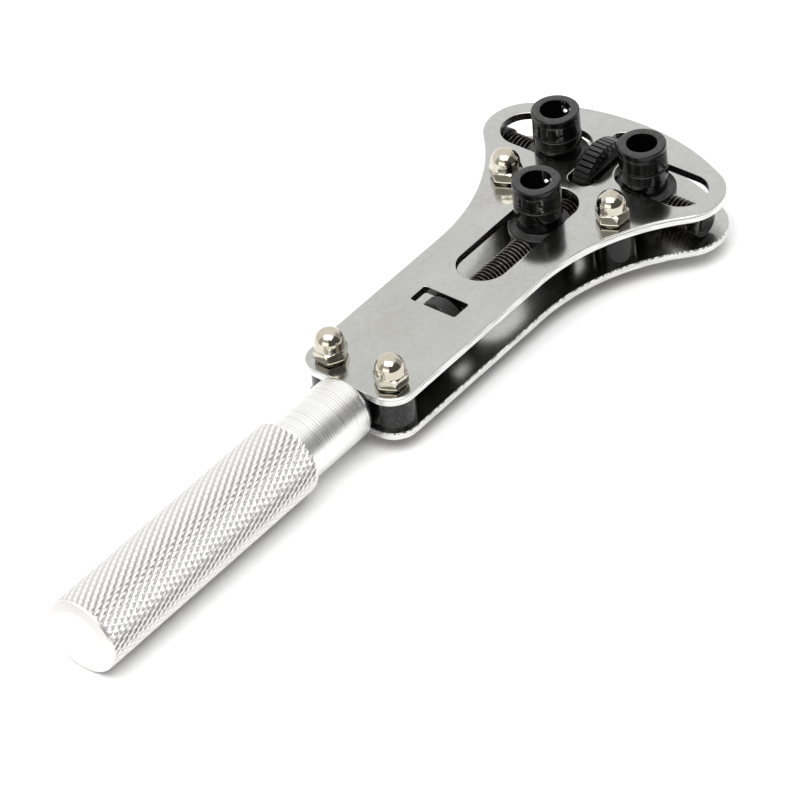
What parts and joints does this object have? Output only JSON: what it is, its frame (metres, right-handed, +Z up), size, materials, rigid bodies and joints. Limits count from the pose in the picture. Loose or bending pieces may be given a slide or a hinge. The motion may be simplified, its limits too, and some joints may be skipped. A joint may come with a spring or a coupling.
{
  "type": "case back opener",
  "caption": "Hand wrench for screwed watch case backs: two bolted plates on a knurled handle carry three screw-driven sockets that take interchangeable bits.",
  "frame": {"origin": "centre of the tool's length and width, in the plane it rests on (the lowest point of the cross thumb wheel)", "axes": "+X along the tool from the handle to the head, +Y to the left seen from the handle, +Z up towards the socket mouths; both screw axes lie 9.35 mm above the origin plane"},
  "size_m": [0.1818, 0.0586, 0.0237],
  "materials": {
    "polished_plate": "bright plated steel sheet, satin mirror with faint smudges",
    "nickel": "polished nickel plate, slightly warm",
    "black_oxide": "glossy black oxide on turned steel, greyer on the rims",
    "dark_steel": "oiled black steel thread with worn crests",
    "bare_aluminium": "bare turned aluminium, diamond knurl on the grip",
    "ball_steel": "bright bearing ball"
  },
  "bodies": {
    "frame": {"top_plate": "polished_plate", "bottom_plate": "polished_plate", "cap_nut_rear_left": "nickel", "cap_nut_rear_right": "nickel", "cap_nut_front_left": "nickel", "cap_nut_front_right": "nickel", "frame_bolt_rear_left": "nickel", "frame_bolt_rear_right": "nickel", "frame_bolt_front_left": "nickel", "frame_bolt_front_right": "nickel", "spacer_front_left": "black_oxide", "spacer_front_right": "black_oxide", "handle_block": "black_oxide", "handle_stud": "dark_steel", "handle": "bare_aluminium"},
    "cross_drive": {"cross_screw": "dark_steel", "cross_thumb_wheel": "black_oxide", "screw_end_collar_left": "black_oxide", "screw_end_collar_right": "black_oxide"},
    "centre_drive": {"centre_screw": "dark_steel", "centre_thumb_wheel": "black_oxide"},
    "left_jaw_unit": {"left_jaw": "black_oxide", "left_spring_sleeve": "black_oxide"},
    "right_jaw_unit": {"right_jaw": "black_oxide", "right_spring_sleeve": "black_oxide"},
    "centre_jaw_unit": {"centre_jaw": "black_oxide", "centre_spring_sleeve": "black_oxide"},
    "left_ball": {"left_detent_ball": "ball_steel"},
    "right_ball": {"right_detent_ball": "ball_steel"},
    "centre_ball": {"centre_detent_ball": "ball_steel"}
  },
  "joints": [
    {"name": "cross_screw_turn", "type": "hinge", "parent": "frame", "child": "cross_drive", "pos_m": [0.0759, 0, 0.00935], "axis": [0, 1, 0], "range_deg": [-540, 2340]},
    {"name": "left_jaw_slide", "type": "slide", "parent": "frame", "child": "left_jaw_unit", "axis": [0, 1, 0], "range_m": [-0.00151, 0.00651]},
    {"name": "right_jaw_slide", "type": "slide", "parent": "frame", "child": "right_jaw_unit", "axis": [0, -1, 0], "range_m": [-0.00151, 0.00651]},
    {"name": "centre_screw_turn", "type": "hinge", "parent": "frame", "child": "centre_drive", "pos_m": [0, 0, 0.00935], "axis": [1, 0, 0], "range_deg": [-1728, 6984]},
    {"name": "centre_jaw_slide", "type": "slide", "parent": "frame", "child": "centre_jaw_unit", "axis": [-1, 0, 0], "range_m": [-0.00481, 0.01941]},
    {"name": "left_ball_slide", "type": "slide", "parent": "left_jaw_unit", "child": "left_ball", "axis": [1, 0, 0], "range_m": [0, 0.00045], "deforming": ["left_spring_sleeve"]},
    {"name": "right_ball_slide", "type": "slide", "parent": "right_jaw_unit", "child": "right_ball", "axis": [-1, 0, 0], "range_m": [0, 0.00045], "deforming": ["right_spring_sleeve"]},
    {"name": "centre_ball_slide", "type": "slide", "parent": "centre_jaw_unit", "child": "centre_ball", "axis": [1, 0, 0], "range_m": [0, 0.00045], "deforming": ["centre_spring_sleeve"]}
  ],
  "couplings": [
    {"joint": "left_jaw_slide", "follows": "cross_screw_turn", "m_per_rad": 0.00015915},
    {"joint": "right_jaw_slide", "follows": "cross_screw_turn", "m_per_rad": 0.00015915},
    {"joint": "centre_jaw_slide", "follows": "centre_screw_turn", "m_per_rad": 0.00015915}
  ]
}
